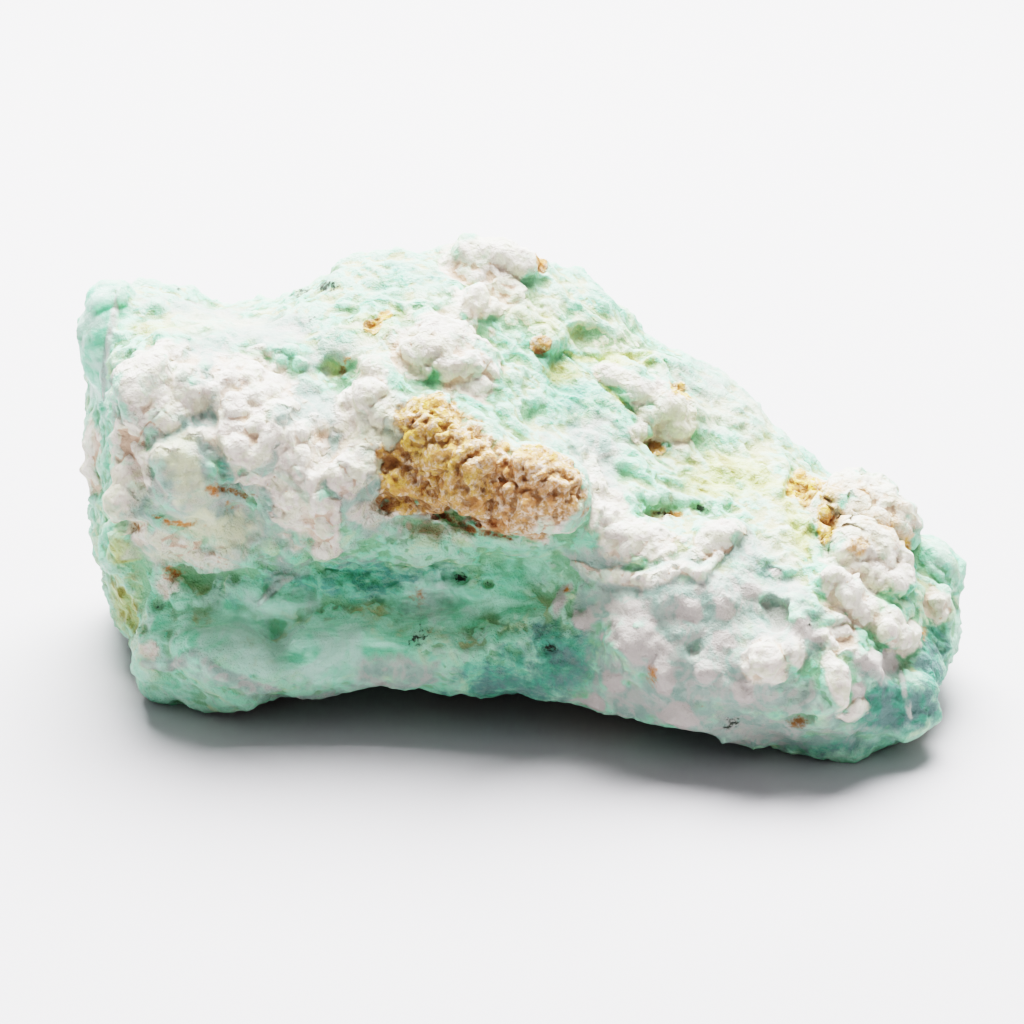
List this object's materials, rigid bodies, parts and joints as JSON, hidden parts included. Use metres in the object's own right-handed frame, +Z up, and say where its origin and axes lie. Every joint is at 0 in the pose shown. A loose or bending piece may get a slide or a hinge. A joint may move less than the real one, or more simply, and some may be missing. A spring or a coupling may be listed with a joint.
{
  "type": "raw chrysoprase",
  "caption": "Raw chunk of green chalcedony with a knobbly white crust and rusty ochre lumps, tall at one end and low at the other.",
  "frame": {"origin": "middle of the stone's bounding box, on the surface it rests on", "axes": "+X along the stone from its tall end to its low nose, -Y to the crusted front, +Z up"},
  "size_m": [0.091, 0.0558, 0.0424],
  "materials": {
    "stone": "satin"
  },
  "bodies": {
    "root": {"chrysoprase": "stone"}
  },
  "joints": []
}
